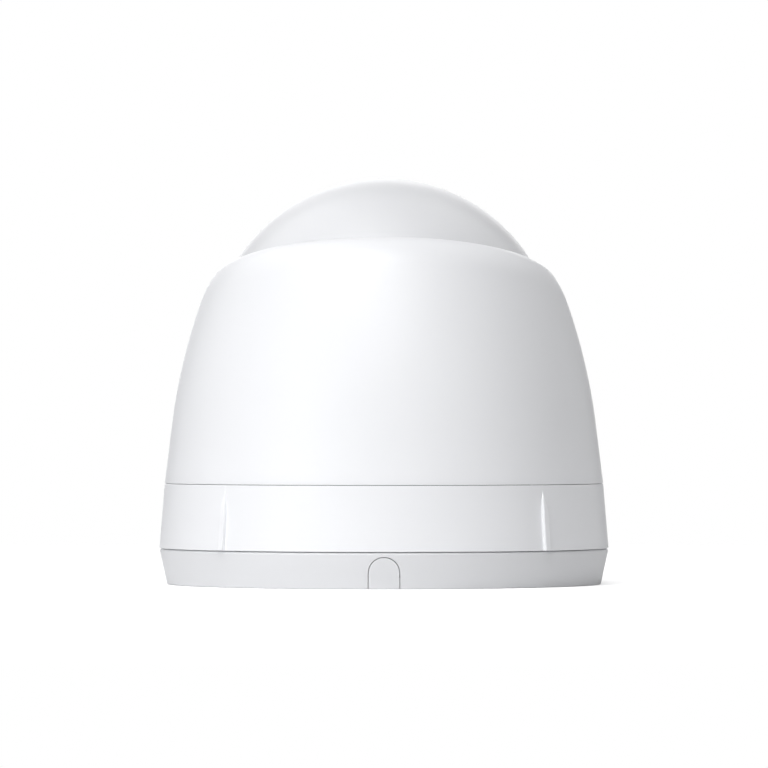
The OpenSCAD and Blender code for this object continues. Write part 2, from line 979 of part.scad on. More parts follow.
module heat_sink() {
    fin_t = 1;
    fin_pitch = 4;
    color(steel)
        at_lens() {
            rod(heat_sink_r, [heat_sink_h[1] - 1.6, heat_sink_h[1]]);
            for (x = [-2.5 * fin_pitch : fin_pitch : 2.5 * fin_pitch]) {
                half = sqrt(pow(heat_sink_r - 1, 2) - pow(abs(x) + fin_t, 2));
                block(
                    [x - fin_t / 2, -half, heat_sink_h[0]],
                    [x + fin_t / 2, half, heat_sink_h[1] - 1.5]
                );
            }
        }
}

module sensor_screws() {
    color(steel)
        at_lens()
            at_angles(sensor_screw_r, sensor_screw_angles)
                screw(board_screw, sensor_board_h[0], sensor_board_h[1] + 3.5);
}

// --- Day and night filter ---

module filter_frame() {
    half = holder_size / 2;
    reach = filter_travel / 2 + 4.5;
    color("black")
        at_lens()
            difference() {
                block(
                    [-reach - filter_travel / 2, -half[1] + 2, filter_h[0]],
                    [reach - filter_travel / 2, half[1] - 2, filter_h[1]]
                );
                for (x = [0, -filter_travel])
                    translate([x, 0, 0])
                        rod(filter_glass_r, [filter_h[0] - over, filter_h[1] + over]);
            }
}

module filter_glasses() {
    color("lightcyan")
        at_lens()
            for (x = [0, -filter_travel])
                translate([x, 0, 0])
                    rod(filter_glass_r, [filter_h[0] + 0.2, filter_h[1] - 0.3]);
}

mounting_plate();
cable_exit_tab();
wall_seal();
base_shell();
bottom_cover();
cover_seal();
cover_screws();
main_board();
power_parts();
board_screws();
network_jack();
jack_contacts();
jack_boot();
reset_switch();
reset_button();
housing_shell();
turntable();
housing_screws();
pan_retainer();
pan_washer();
retainer_screws();
ball_seat();
rim_wiper();
ball_shell();
tilt_pins();
ball_cover();
ball_cover_seal();
ball_cover_screws();
cable_grommet();
head_ring();
head_ring_screws();
head_carrier();
front_bezel();
front_window();
window_seal();
led_board();
infrared_leds();
light_sensor();
microphone();
lens_shade();
lens_barrel();
lens_front_element();
lens_rear_element();
lens_holder();
sensor_board();
image_sensor();
filter_coil();
thermal_pad();
heat_sink();
sensor_screws();
filter_frame();
filter_glasses();
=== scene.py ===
"""Turret security camera: the looks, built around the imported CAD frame.  Metres, +Z up.
Outlines are written in millimetres, in the piece's own axes, and scaled when they are placed."""

import json
import math

import bmesh
import bpy
from mathutils import Matrix, Vector


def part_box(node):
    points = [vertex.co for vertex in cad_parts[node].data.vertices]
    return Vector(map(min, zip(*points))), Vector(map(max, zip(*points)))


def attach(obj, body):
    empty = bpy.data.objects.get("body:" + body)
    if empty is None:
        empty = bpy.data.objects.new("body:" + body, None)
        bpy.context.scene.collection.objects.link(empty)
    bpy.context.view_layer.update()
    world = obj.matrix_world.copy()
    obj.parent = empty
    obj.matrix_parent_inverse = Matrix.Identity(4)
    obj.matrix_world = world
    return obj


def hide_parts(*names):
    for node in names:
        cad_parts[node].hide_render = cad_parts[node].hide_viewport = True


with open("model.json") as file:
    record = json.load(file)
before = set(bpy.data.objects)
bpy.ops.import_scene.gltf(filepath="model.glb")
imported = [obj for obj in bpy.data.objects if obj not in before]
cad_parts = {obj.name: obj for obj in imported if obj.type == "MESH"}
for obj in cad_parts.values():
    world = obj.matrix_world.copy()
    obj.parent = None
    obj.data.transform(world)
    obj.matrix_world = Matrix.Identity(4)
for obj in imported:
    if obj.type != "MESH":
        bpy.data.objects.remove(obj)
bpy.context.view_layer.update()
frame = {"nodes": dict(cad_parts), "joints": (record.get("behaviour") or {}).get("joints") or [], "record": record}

MM = 0.001
TAU = 2 * math.pi

# ---------------------------------------------------------------- places from the frame

JOINTS = {joint["name"]: joint for joint in frame["joints"]}
BALL_AT = Vector(JOINTS["tilt"]["pos_m"])
LENS_AXIS = Vector(JOINTS["roll"]["axis"]).normalized()
LENS_LEAN = math.acos(LENS_AXIS.z)


def low(node):
    """A node's lowest corner, in millimetres."""
    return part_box(node)[0] / MM


def high(node):
    """A node's highest corner, in millimetres."""
    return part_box(node)[1] / MM


BALL_Z = BALL_AT.z / MM
BALL_R = high("ball_shell").z - BALL_Z
PLATE_TOP = high("mounting_plate").z
BASE_TOP = high("base_shell").z
HOUSING_BOTTOM = low("housing_shell").z
BASE_BOTTOM = PLATE_TOP + HOUSING_BOTTOM - BASE_TOP
BODY_R = high("base_shell").x

# Drafts and curves of the outside, as the CAD has them
RING_DRAFT = 0.215
BAND_DRAFT = 0.083
HOUSING_DRAFT = 0.124
CROWN_START = 36.0
CROWN_RATE = 0.00425
WALL = 2.2
COLLAR_LEAN = math.radians(12.3)
COLLAR_FLARE = math.radians(35)
SHOULDER_AT = (33.8, 12.0)
SHOULDER_R = 5.8
BALL_GAP = 0.4
MOUTH_R = 21.5
CUT_TURN = math.radians(24)
CUT_H = -10.6
LOWER_SEAM = (PLATE_TOP + BASE_BOTTOM) / 2
UPPER_SEAM = (BASE_TOP + HOUSING_BOTTOM) / 2
# The skins close the seams to the hairlines that show
LOWER_GAP = 0.13
UPPER_GAP = 0.11
RING_TOP = LOWER_SEAM - LOWER_GAP / 2
BAND_FOOT = LOWER_SEAM + LOWER_GAP / 2
BAND_TOP = UPPER_SEAM - UPPER_GAP / 2
HOUSING_FOOT = UPPER_SEAM + UPPER_GAP / 2

# ---------------------------------------------------------------- mesh helpers


def leaning(lean):
    """The ball's centre, with +Z leaning towards the lens side, for millimetre meshes."""
    return Matrix.Translation(BALL_AT) @ Matrix.Rotation(lean, 4, "X") @ Matrix.Scale(MM, 4)


UPRIGHT = Matrix.Scale(MM, 4)
AT_LENS = leaning(LENS_LEAN)


def fillet(corners, steps=5):
    """A closed outline from corners (x, y, radius): each corner with a radius becomes an arc."""
    count = len(corners)
    out = []
    for i, corner in enumerate(corners):
        here = Vector(corner[:2])
        radius = corner[2] if len(corner) > 2 else 0
        if radius <= 0:
            out.append(tuple(here))
            continue
        before = (Vector(corners[i - 1][:2]) - here).normalized()
        after = (Vector(corners[(i + 1) % count][:2]) - here).normalized()
        half = math.acos(max(-1.0, min(1.0, before.dot(after)))) / 2
        reach = radius / math.tan(half)
        centre = here + (before + after).normalized() * (radius / math.sin(half))
        start = here + before * reach - centre
        turn = math.pi - 2 * half
        side = 1 if start.cross(here + after * reach - centre) > 0 else -1
        for k in range(steps + 1):
            a = side * turn * k / steps
            out.append((
                centre.x + start.x * math.cos(a) - start.y * math.sin(a),
                centre.y + start.x * math.sin(a) + start.y * math.cos(a),
            ))
    return out


def make_object(name, verts, faces, place):
    """A smooth-shaded mesh object, its millimetre vertices moved by place into metres."""
    mesh = bpy.data.meshes.new(name)
    mesh.from_pydata([place @ Vector(v) for v in verts], [], faces)
    mesh.validate()
    obj = bpy.data.objects.new(name, mesh)
    bpy.context.scene.collection.objects.link(obj)
    tidy_normals(obj)
    return obj


def tidy_normals(obj, angle=35):
    """Outward faces, shaded smooth except across edges sharper than angle."""
    bm = bmesh.new()
    bm.from_mesh(obj.data)
    bmesh.ops.remove_doubles(bm, verts=bm.verts, dist=1e-7)
    bmesh.ops.recalc_face_normals(bm, faces=bm.faces)
    bm.to_mesh(obj.data)
    bm.free()
    obj.data.shade_smooth()
    obj.data.set_sharp_from_angle(angle=math.radians(angle))


def columns_to_object(name, columns, place):
    """Joins closed columns of equal length, side by side, all the way round."""
    count, height = len(columns), len(columns[0])
    verts = [column[k] for k in range(height) for column in columns]
    faces = []
    for k in range(height):
        a, b = k * count, (k + 1) % height * count
        for i in range(count):
            j = (i + 1) % count
            faces.append((a + i, a + j, b + j, b + i))
    return make_object(name, verts, faces, place)


def lathe(name, outline, place=UPRIGHT, segments=192, sector=None):
    """Turns a closed outline of (radius, height) about Z; sector gives two angles in degrees."""
    if sector:
        start, end = (math.radians(a) for a in sector)
        steps = max(4, int(segments * (end - start) / TAU))
        angles = [start + (end - start) * i / steps for i in range(steps + 1)]
    else:
        angles = [TAU * i / segments for i in range(segments)]
    verts = [(r * math.cos(a), r * math.sin(a), z) for a in angles for r, z in outline]
    width = len(outline)
    faces = []
    for i in range(len(angles) - (1 if sector else 0)):
        a, b = i * width, (i + 1) % len(angles) * width
        for k in range(width):
            m = (k + 1) % width
            if outline[k][0] < 1e-6 and outline[m][0] < 1e-6:
                continue
            corners = [a + k, b + k, b + m, a + m]
            if outline[k][0] < 1e-6:
                corners.remove(b + k)
            if outline[m][0] < 1e-6:
                corners.remove(b + m)
            faces.append(corners)
    if sector:
        faces.append(list(range(width))[::-1])
        faces.append(list(range((len(angles) - 1) * width, len(angles) * width)))
    return make_object(name, verts, faces, place)


def prism(name, outline, low_z, high_z, place=UPRIGHT):
    """A closed outline of (x, y) drawn up from low_z to high_z."""
    count = len(outline)
    verts = [(x, y, z) for z in (low_z, high_z) for x, y in outline]
    faces = [list(range(count))[::-1], list(range(count, 2 * count))]
    faces += [(i, (i + 1) % count, count + (i + 1) % count, count + i) for i in range(count)]
    return make_object(name, verts, faces, place)


def square(half):
    return [(-half, -half), (half, -half), (half, half), (-half, half)]


def spot_on_circle(radius, angle):
    """A place on a circle about Z: radius in millimetres, angle in degrees."""
    turn = Matrix.Rotation(math.radians(angle), 4, "Z")
    return turn @ Matrix.Translation((radius * MM, 0, 0))


def apply_modifiers(obj):
    """Replaces a mesh by what its modifiers make of it."""
    graph = bpy.context.evaluated_depsgraph_get()
    mesh = bpy.data.meshes.new_from_object(obj.evaluated_get(graph))
    obj.modifiers.clear()
    obj.data = mesh


def boolean(obj, operation, *others):
    """Cuts, joins or intersects obj with others, which are then removed."""
    for other in others:
        modifier = obj.modifiers.new("boolean", "BOOLEAN")
        modifier.operation = operation
        modifier.solver = "EXACT"
        modifier.object = other
        apply_modifiers(obj)
        bpy.data.objects.remove(other)
    tidy_normals(obj)


def bevel(obj, width, segments=2, angle=35):
    """Rounds the edges sharper than angle; width is in millimetres."""
    modifier = obj.modifiers.new("bevel", "BEVEL")
    modifier.width = width * MM
    modifier.segments = segments
    modifier.limit_method = "ANGLE"
    modifier.angle_limit = math.radians(angle)
    modifier.use_clamp_overlap = True
    modifier.harden_normals = True
    apply_modifiers(obj)


def dress(obj, material, body, slot, *nodes):
    """Gives a piece its material and its body, and hides the CAD nodes that it stands for; slot is not used."""
    obj.data.materials.clear()
    obj.data.materials.append(material)
    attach(obj, body)
    if nodes:
        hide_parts(*nodes)


def let_light_through(obj):
    """Clear pieces cast no shadow, so that the lamps reach what is behind them."""
    obj.visible_shadow = False


# ---------------------------------------------------------------- materials


def new_material(name):
    """An empty material with its Principled shader, and a function that adds nodes to it."""
    material = bpy.data.materials.new(name)
    material.use_nodes = True
    tree = material.node_tree
    shader = tree.nodes["Principled BSDF"]

    def add(kind, inputs=None, **settings):
        node = tree.nodes.new(kind)
        for key, value in settings.items():
            setattr(node, key, value)
        for key, value in (inputs or {}).items():
            if isinstance(value, bpy.types.NodeSocket):
                tree.links.new(value, node.inputs[key])
            else:
                node.inputs[key].default_value = value
        return node

    return material, tree, shader, add


def noise(add, scale, detail=3.0, rough=0.5, stretch=(1, 1, 1)):
    """Noise in the piece's own space, in metres, as a factor socket."""
    place = add("ShaderNodeTexCoord").outputs["Object"]
    mapped = add("ShaderNodeMapping", {"Vector": place, "Scale": stretch}).outputs["Vector"]
    node = add(
        "ShaderNodeTexNoise",
        {"Vector": mapped, "Scale": scale, "Detail": detail, "Roughness": rough},
    )
    return node.outputs["Fac"]


def remap(add, factor, low_out, high_out, low_in=0.3, high_in=0.7):
    """A factor stretched from one range to another."""
    node = add(
        "ShaderNodeMapRange",
        {"Value": factor, "From Min": low_in, "From Max": high_in,
         "To Min": low_out, "To Max": high_out},
    )
    return node.outputs["Result"]


def mottle(add, colour, other, factor):
    """Two colours mixed by a factor."""
    node = add("ShaderNodeMix", {"Factor": factor}, data_type="RGBA")
    node.inputs["A"].default_value = (*colour, 1)
    node.inputs["B"].default_value = (*other, 1)
    return node.outputs["Result"]


def bump(add, height, strength, distance, under=None):
    """A bump from a height factor; distance is in metres."""
    inputs = {"Height": height, "Strength": strength, "Distance": distance}
    if under is not None:
        inputs["Normal"] = under
    return add("ShaderNodeBump", inputs).outputs["Normal"]


def moulded_plastic(name, colour, roughness, grain=0.006, edge_highlight=0.02, sheen_dip=0.015):
    """Satin moulded plastic: a fine spark-eroded grain, slow unevenness, and convex edges painted lighter, a
    painted edge highlight.
    """
    material, tree, shader, add = new_material(name)
    slow = noise(add, 22, 2)
    fine = noise(add, 5200, 2, 0.6)
    sink = noise(add, 60, 3)
    shade = tuple(max(0, c - sheen_dip) for c in colour)
    body = mottle(add, colour, shade, remap(add, slow, 0, 1))
    # Painted highlight: convex edges, found by pointiness, are given a lighter colour
    edge = add("ShaderNodeNewGeometry").outputs["Pointiness"]
    edge_highlight_mask = remap(add, edge, 0, 1, 0.53, 0.6)
    lighter = add("ShaderNodeMix", {"Factor": edge_highlight_mask, "A": body}, data_type="RGBA")
    lighter.inputs["B"].default_value = (*(min(1, c + edge_highlight) for c in colour), 1)
    tree.links.new(lighter.outputs["Result"], shader.inputs["Base Color"])
    patchy = remap(add, sink, roughness - 0.035, roughness + 0.035)
    tree.links.new(patchy, shader.inputs["Roughness"])
    rolling = bump(add, sink, 0.12, 0.00004)
    grainy = bump(add, fine, grain * 20, 0.000012, rolling)
    tree.links.new(grainy, shader.inputs["Normal"])
    shader.inputs["IOR"].default_value = 1.49
    return material


def rubber(name, colour=(0.022, 0.022, 0.024)):
    """Dusty matt rubber."""
    material, tree, shader, add = new_material(name)
    dust = noise(add, 260, 5, 0.7)
    body = mottle(add, colour, tuple(c * 2.2 + 0.01 for c in colour), remap(add, dust, 0, 1, 0.45, 0.8))
    tree.links.new(body, shader.inputs["Base Color"])
    tree.links.new(remap(add, dust, 0.62, 0.85), shader.inputs["Roughness"])
    tree.links.new(bump(add, noise(add, 3800, 3), 0.25, 0.00003), shader.inputs["Normal"])
    return material


def metal(name, colour, roughness=0.3, stretch=(1, 1, 14), scale=900):
    """Brushed metal: fine lines across one axis, and a slow tarnish."""
    material, tree, shader, add = new_material(name)
    lines = noise(add, scale, 4, 0.6, stretch)
    tarnish = noise(add, 180, 3)
    body = mottle(add, colour, tuple(c * 0.72 for c in colour), remap(add, tarnish, 0, 1))
    tree.links.new(body, shader.inputs["Base Color"])
    tree.links.new(remap(add, lines, roughness - 0.08, roughness + 0.12), shader.inputs["Roughness"])
    tree.links.new(bump(add, lines, 0.15, 0.00002), shader.inputs["Normal"])
    shader.inputs["Metallic"].default_value = 1.0
    return material


def circuit_board(name):
    """Green solder mask over copper traces, with bare pads."""
    material, tree, shader, add = new_material(name)
    place = add("ShaderNodeTexCoord").outputs["Object"]
    traces = add(
        "ShaderNodeTexBrick",
        {"Vector": place, "Scale": 260.0, "Mortar Size": 0.03, "Mortar Smooth": 0.3,
         "Brick Width": 3.4, "Row Height": 0.21},
    ).outputs["Fac"]
    cells = add(
        "ShaderNodeTexVoronoi", {"Vector": place, "Scale": 400.0}, feature="F1",
    ).outputs["Distance"]
    pads = remap(add, cells, 1, 0, 0.10, 0.14)
    mask = mottle(add, (0.012, 0.11, 0.05), (0.03, 0.2, 0.09), traces)
    final = add("ShaderNodeMix", {"Factor": pads, "A": mask}, data_type="RGBA")
    final.inputs["B"].default_value = (0.72, 0.58, 0.3, 1)
    tree.links.new(final.outputs["Result"], shader.inputs["Base Color"])
    tree.links.new(remap(add, pads, 0.34, 0.22, 0, 1), shader.inputs["Roughness"])
    tree.links.new(bump(add, traces, 0.4, 0.00003), shader.inputs["Normal"])
    return material


def clear_material(name, colour, roughness, ior, film=0.0):
    """Clear resin or glass: faint flow marks, and a thin coating on lenses; film in nanometres."""
    material, tree, shader, add = new_material(name)
    flow = noise(add, 400, 2)
    tint = mottle(add, colour, tuple(c * 0.96 for c in colour), remap(add, flow, 0, 1))
    tree.links.new(tint, shader.inputs["Base Color"])
    tree.links.new(remap(add, flow, roughness, roughness + 0.015), shader.inputs["Roughness"])
    tree.links.new(bump(add, flow, 0.02, 0.00001), shader.inputs["Normal"])
    shader.inputs["Transmission Weight"].default_value = 1.0
    shader.inputs["IOR"].default_value = ior
    if film:
        shader.inputs["Thin Film Thickness"].default_value = film
        shader.inputs["Thin Film IOR"].default_value = 1.38
    return material


def cool(level):
    """The slightly cool white of the shells, at a brightness."""
    return (0.991 * level, level, 1.026 * level)


MATERIALS = {
    "shell_plastic": moulded_plastic("housing_white", cool(0.905), 0.42),
    # Painted shade: the ball and the ring are the housing's white made darker, for the light they get less of
    "ball_plastic": moulded_plastic("ball_shaded_white", cool(0.79), 0.38),
    "ring_plastic": moulded_plastic("ring_shaded_white", cool(0.785), 0.45),
    "inner_plastic": moulded_plastic("inner_grey", (0.09, 0.092, 0.1), 0.5, 0.012, 0.04, 0.02),
    "button_grey": moulded_plastic("button_grey", (0.16, 0.17, 0.18), 0.45, 0.01, 0.05, 0.02),
    "part_black": moulded_plastic("part_black", (0.014, 0.014, 0.015), 0.4, 0.01, 0.02, 0.004),
    "seal_rubber": rubber("seal_rubber"),
    "pad_blue": rubber("pad_blue", (0.12, 0.22, 0.36)),
    "fastener_steel": metal("fastener_steel", (0.62, 0.62, 0.61)),
    "jack_metal": metal("jack_metal", (0.66, 0.66, 0.67), 0.34, (14, 1, 1)),
    "contact_gold": metal("contact_gold", (0.83, 0.6, 0.22), 0.2, (1, 14, 1)),
    "coil_copper": metal("coil_copper", (0.62, 0.26, 0.09), 0.28, (14, 1, 1), 1500),
    "heat_aluminium": metal("heat_aluminium", (0.72, 0.73, 0.74), 0.36, (1, 14, 1)),
    "board_green": circuit_board("board_green"),
    "window_black": clear_material("window_smoked", (0.6, 0.6, 0.62), 0.0, 1.49),
    "clear_glass": clear_material("coated_glass", (0.93, 0.95, 1.0), 0.0, 1.6, 420.0),
    "lamp_base": moulded_plastic("lamp_base", (0.62, 0.6, 0.55), 0.5, 0.01),
    "lamp_clear": clear_material("lamp_resin", (0.88, 0.85, 0.95), 0.05, 1.5),
}

# ---------------------------------------------------------------- outside profiles


def ring_r(z):
    return BODY_R - RING_DRAFT * (LOWER_SEAM - z)


def band_r(z):
    return BODY_R - BAND_DRAFT * (z - LOWER_SEAM)


def housing_r(z):
    return (
        band_r(UPPER_SEAM)
        - HOUSING_DRAFT * (z - UPPER_SEAM)
        - CROWN_RATE * max(0.0, z - CROWN_START) ** 2
    )


def wall_reach(rise):
    """How far a ray from the ball's centre, at that elevation, runs to the housing's wall."""
    near, far = 10.0, 90.0
    for _ in range(40):
        middle = (near + far) / 2
        inside = middle * math.cos(rise) < housing_r(BALL_Z + middle * math.sin(rise))
        near, far = (middle, far) if inside else (near, middle)
    return near


def collar_reach(alpha):
    """How far a ray runs to the leaning collar, at that angle from the collar's axis."""
    out, up = math.sin(alpha), math.cos(alpha)
    along = SHOULDER_AT[0] * out + SHOULDER_AT[1] * up
    spare = along ** 2 - (SHOULDER_AT[0] ** 2 + SHOULDER_AT[1] ** 2 - SHOULDER_R ** 2)
    if spare > 0:
        reach = along + math.sqrt(spare)
        turn = math.atan2(reach * up - SHOULDER_AT[1], reach * out - SHOULDER_AT[0])
        if turn > COLLAR_FLARE:
            return reach
    side = (math.cos(COLLAR_FLARE), math.sin(COLLAR_FLARE))
    facing = side[0] * out + side[1] * up
    if facing < 1e-3:
        return 1e3
    return (side[0] * SHOULDER_AT[0] + side[1] * SHOULDER_AT[1] + SHOULDER_R) / facing


def soft_min(a, b, blend):
    """The smaller of two lengths, rounded where they cross."""
    h = max(0.0, blend - abs(a - b)) / blend
    return min(a, b) - h * h * blend / 4


def ray(azimuth, rise):
    """A unit vector; azimuth 0 is +X and 90 degrees is the back, +Y."""
    return Vector((
        math.cos(rise) * math.cos(azimuth), math.cos(rise) * math.sin(azimuth), math.sin(rise),
    ))


COLLAR_AXIS = Vector((0, -math.sin(COLLAR_LEAN), math.cos(COLLAR_LEAN)))


def rise_at(azimuth, alpha):
    """The elevation at which a ray of that azimuth makes the angle alpha with the collar's axis."""
    level = COLLAR_AXIS.y * math.sin(azimuth)
    size = math.hypot(level, COLLAR_AXIS.z)
    return math.atan2(COLLAR_AXIS.z, level) - math.acos(math.cos(alpha) / size)


# ---------------------------------------------------------------- housing

SHOULDER_BLEND = 0.9
LIP_ROUND = 0.25
GAP_R = BALL_R + BALL_GAP
SEAM_ROUND = 0.15
# Rows of faces: up the straight wall, then from HIGH_START to the lip
LOW_ROWS = 12
HIGH_ROWS = 64
HIGH_START = 44.0
# How far the wall follows the ball inside the opening, and where it goes on down
THROAT = math.radians(10.4)
INNER_START = math.radians(12)
THROAT_ROWS = 8
HOUSING_SEGMENTS = 288


def lip_section():
    """The lip's small round, as (angle from the collar's axis, reach from the ball's centre):
    it leaves the shoulder's arc and ends on the sphere of the ball's gap."""
    away = math.hypot(*SHOULDER_AT)
    toward = (SHOULDER_AT[0] / away, SHOULDER_AT[1] / away)
    reach = GAP_R + LIP_ROUND
    along = (reach ** 2 - (SHOULDER_R - LIP_ROUND) ** 2 + away ** 2) / (2 * away)
    off = math.sqrt(reach ** 2 - along ** 2)
    middle = (toward[0] * along - toward[1] * off, toward[1] * along + toward[0] * off)
    start = math.atan2(middle[1] - SHOULDER_AT[1], middle[0] - SHOULDER_AT[0])
    end = math.atan2(middle[1], middle[0]) + math.pi
    section = []
    for k in range(7):
        a = start + (end - start) * k / 6
        r, h = middle[0] + LIP_ROUND * math.cos(a), middle[1] + LIP_ROUND * math.sin(a)
        section.append((math.atan2(r, h), math.hypot(r, h)))
    return section


LIP = lip_section()


def skin_reach(azimuth, rise):
    """How far a ray runs to the housing's outside."""
    alpha = math.acos(ray(azimuth, rise).dot(COLLAR_AXIS))
    return soft_min(wall_reach(rise), collar_reach(alpha), SHOULDER_BLEND)


def housing_column(azimuth):
    """One meridian of the housing: up the outside, over the lip, and down the inside."""
    out = ray(azimuth, 0)
    centre = Vector((0, 0, BALL_Z))
    column = []

    def at(radius, z):
        column.append(out * radius + Vector((0, 0, z)))

    def along_ray(rise, reach):
        column.append(centre + ray(azimuth, rise) * reach)

    for k in range(5):
        a = math.radians(90 * k / 4)
        at(housing_r(HOUSING_FOOT) - SEAM_ROUND * (1 - math.sin(a)),
           HOUSING_FOOT + SEAM_ROUND * (1 - math.cos(a)))
    foot = HOUSING_FOOT + SEAM_ROUND
    for k in range(1, LOW_ROWS + 1):
        z = foot + (HIGH_START - foot) * k / LOW_ROWS
        at(housing_r(z), z)
    start = math.atan2(HIGH_START - BALL_Z, housing_r(HIGH_START))
    end = rise_at(azimuth, LIP[0][0])
    # Rows close up towards the lip, where the shoulder turns away from the rays
    for k in range(1, HIGH_ROWS + 1):
        rise = end - (end - start) * (1 - k / HIGH_ROWS) ** 2
        along_ray(rise, skin_reach(azimuth, rise))
    for alpha, reach in LIP[1:]:
        along_ray(rise_at(azimuth, alpha), reach)
    lip_end = LIP[-1][0]
    for k in range(1, THROAT_ROWS + 1):
        along_ray(rise_at(azimuth, lip_end + THROAT * k / THROAT_ROWS), GAP_R)
    inner_start = rise_at(azimuth, lip_end + INNER_START)
    for k in range(8):
        rise = inner_start + (start - inner_start) * k / 7
        along_ray(rise, max(skin_reach(azimuth, rise) - WALL, GAP_R + 0.05))
    for k in range(1, 5):
        z = HIGH_START + (HOUSING_FOOT - HIGH_START) * k / 4
        at(housing_r(z) - WALL, z)
    return column


def build_housing():
    columns = [housing_column(TAU * i / HOUSING_SEGMENTS) for i in range(HOUSING_SEGMENTS)]
    obj = columns_to_object("housing_skin", columns, UPRIGHT)
    dress(obj, MATERIALS["shell_plastic"], "housing", "shell_plastic", "housing_shell")


# ---------------------------------------------------------------- ball

BALL_SEGMENTS = 256
BALL_ROWS = 72
MOUTH_ROUND = 0.35
MOUTH_DEPTH = 3.0
MOUTH_RISE = 0.12


def on_circle(lean, alpha, turn):
    """A direction from the ball's centre, alpha from an axis that leans towards the lens side."""
    spin = Matrix.Rotation(lean, 3, "X")
    return spin @ Vector((
        math.sin(alpha) * math.cos(turn), math.sin(alpha) * math.sin(turn), math.cos(alpha),
    ))


def build_ball():
    """The ball's shell: great-circle arcs from the mouth to the hidden edge behind."""
    cut_alpha = math.acos(CUT_H / BALL_R)
    start_alpha = math.asin(MOUTH_R / BALL_R) + MOUTH_ROUND / BALL_R
    mouth_axis = on_circle(LENS_LEAN, 0, 0)
    columns = []
    for i in range(BALL_SEGMENTS):
        turn = TAU * i / BALL_SEGMENTS
        start = on_circle(LENS_LEAN, start_alpha, turn)
        end = on_circle(LENS_LEAN - CUT_TURN, cut_alpha, turn)
        arc = [start.slerp(end, k / BALL_ROWS) for k in range(BALL_ROWS + 1)]
        column = [direction * BALL_R for direction in arc]
        column += [direction * (BALL_R - WALL) for direction in reversed(arc)]
        out = (start - mouth_axis * start.dot(mouth_axis)).normalized()
        rim_h = start.dot(mouth_axis) * BALL_R
        column.append(out * MOUTH_R + mouth_axis * (rim_h - MOUTH_DEPTH))
        for k in range(5):
            a = math.radians(90 * k / 5)
            rise = MOUTH_ROUND * (math.sin(a) - 1) + MOUTH_RISE * math.sin(a)
            widen = MOUTH_ROUND * (1 - math.cos(a))
            column.append(out * (MOUTH_R + widen) + mouth_axis * (rim_h + rise))
        columns.append(column)
    obj = columns_to_object("ball_skin", columns, leaning(0))
    dress(obj, MATERIALS["ball_plastic"], "ball", "ball_plastic", "ball_shell")


# ---------------------------------------------------------------- base band and its ribs

RIB_ANGLES = [45, 135, 225, 315]
RIB_W = 1.8
RIB_TIP_Z = UPPER_SEAM - 1.1
RIB_TAPER = 6.0
RIB_PROUD = 0.8
RIB_ROUND = 0.3
RIB_LIFT = 0.05
RIB_FOOT = 0.05
# Half the angle that is finely divided at each rib, its steps, and the step elsewhere
RIB_SPAN = 2.2
RIB_STEPS = 56
BAND_STEP = 1.5
BASE_BORE = 46.4
DECK_HOLE = 33.0
DECK_Z = (20.0, 21.6)
# Inner radius, bottom and top
SEAL_LEDGE = (44.4, 11.6, 13.0)
# Posts: radius of their circle, angles, outer radius, bore's radius and foot
COVER_POSTS = (43.2, [90, 210, 330], 2.6, 1.2, 10.4)
BOARD_POSTS = (38.4, [50, 130, 250, 290], 1.9, 0.95, 16.1)


def from_rib(angle):
    """The angle to the nearest rib, in degrees."""
    return min(abs((angle - rib + 180) % 360 - 180) for rib in RIB_ANGLES)


def rib_height(angle, z):
    """How far a rib stands out of the band, at an angle in degrees and a height."""
    swell = math.sin(TAU / 4 * max(0.0, min(1.0, (RIB_TIP_Z - z) / RIB_TAPER)))
    across = from_rib(angle) * math.radians(1) * BODY_R
    inside = RIB_W / 2 * swell - across
    if inside <= 0:
        return 0.0
    edge = 1 - min(1.0, inside / RIB_ROUND)
    foot = max(0.0, min(1.0, (z - BAND_FOOT - RIB_LIFT) / RIB_FOOT))
    height = RIB_PROUD - RIB_ROUND + RIB_ROUND * math.sqrt(1 - edge ** 2)
    return height * swell * math.sqrt(1 - (1 - foot) ** 2)


def band_angles():
    """Angles round the band, in degrees, close together across each rib."""
    wide = [BAND_STEP * i for i in range(round(360 / BAND_STEP))]
    wide = [angle for angle in wide if from_rib(angle) > RIB_SPAN]
    close = [rib - RIB_SPAN + 2 * RIB_SPAN * k / RIB_STEPS
             for rib in RIB_ANGLES for k in range(RIB_STEPS + 1)]
    return sorted(wide + close)


def band_outline(angle):
    """The band's section at an angle: up the outside, then down past the deck and seal ledge."""
    edge, turns, rows = SEAM_ROUND, 4, 46
    outline = []
    for k in range(turns):
        t = math.radians(90 * k / turns)
        z = BAND_FOOT + edge * (1 - math.cos(t))
        outline.append((band_r(z) - edge * (1 - math.sin(t)) + rib_height(angle, z), z))
    for k in range(rows + 1):
        z = BAND_FOOT + edge + (BAND_TOP - BAND_FOOT - 2 * edge) * (k / rows) ** 1.3
        outline.append((band_r(z) + rib_height(angle, z), z))
    for k in range(1, turns + 1):
        t = math.radians(90 * k / turns)
        z = BAND_TOP - edge + edge * math.sin(t)
        outline.append((band_r(z) - edge * (1 - math.cos(t)), z))
    ledge_r, ledge_low, ledge_high = SEAL_LEDGE
    return outline + [
        (BASE_BORE + 0.3, BAND_TOP), (BASE_BORE + 0.3, DECK_Z[1]), (DECK_HOLE, DECK_Z[1]),
        (DECK_HOLE, DECK_Z[0]), (BASE_BORE, DECK_Z[0]), (BASE_BORE, ledge_high),
        (ledge_r, ledge_high), (ledge_r, ledge_low), (BASE_BORE, ledge_low),
        (BASE_BORE, BAND_FOOT),
    ]


def screw_posts(posts, top):
    """Hollow posts on a circle, from their foot up into the wall above."""
    at_r, angles, outer, bore, foot = posts
    made = []
    for angle in angles:
        outline = fillet([(bore, foot), (outer, foot, 0.15), (outer, top), (bore, top)], steps=3)
        place = spot_on_circle(at_r, angle) @ UPRIGHT
        made.append(lathe(f"post_{at_r}_{angle}", outline, place, 40))
    return made


